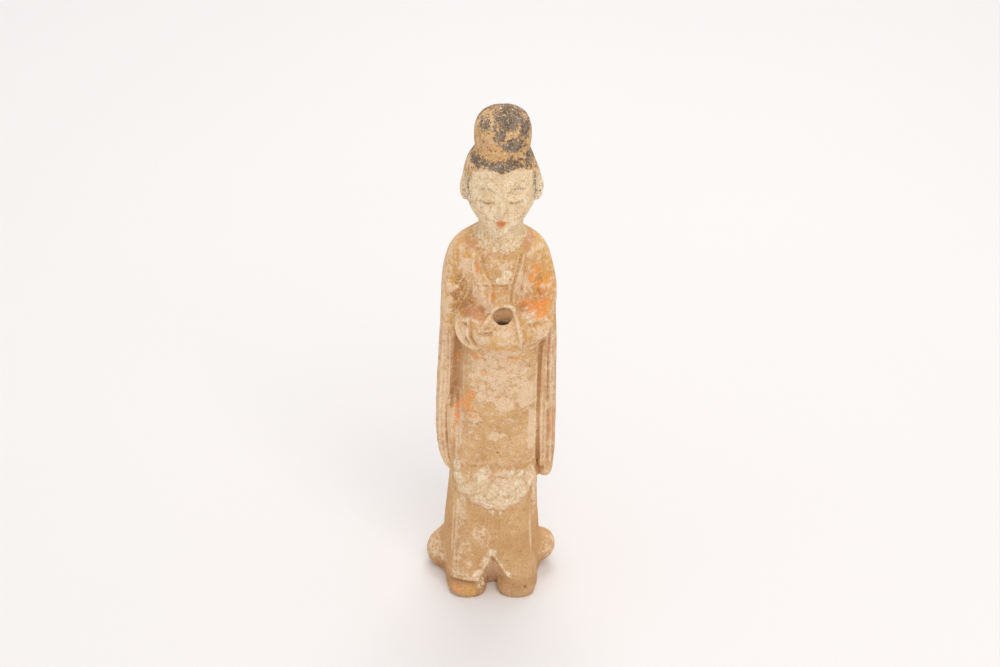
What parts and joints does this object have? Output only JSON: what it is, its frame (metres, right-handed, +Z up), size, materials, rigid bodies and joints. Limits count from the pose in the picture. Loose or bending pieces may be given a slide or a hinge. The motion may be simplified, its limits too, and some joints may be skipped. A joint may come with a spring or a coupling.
{
  "type": "pottery female figure",
  "caption": "Slender standing court lady in low-fired painted pottery, with a high topknot and a hole through her joined hands for a small rod.",
  "frame": {"origin": "on the floor, under the middle of the figure's bounding box", "axes": "+Z up, she faces -Y, and +X is on her left"},
  "size_m": [0.0612, 0.0498, 0.24],
  "materials": {
    "painted_clay": "matte low-fired clay with worn slip and pigment"
  },
  "bodies": {
    "root": {"pottery_figure": "painted_clay"}
  },
  "joints": []
}
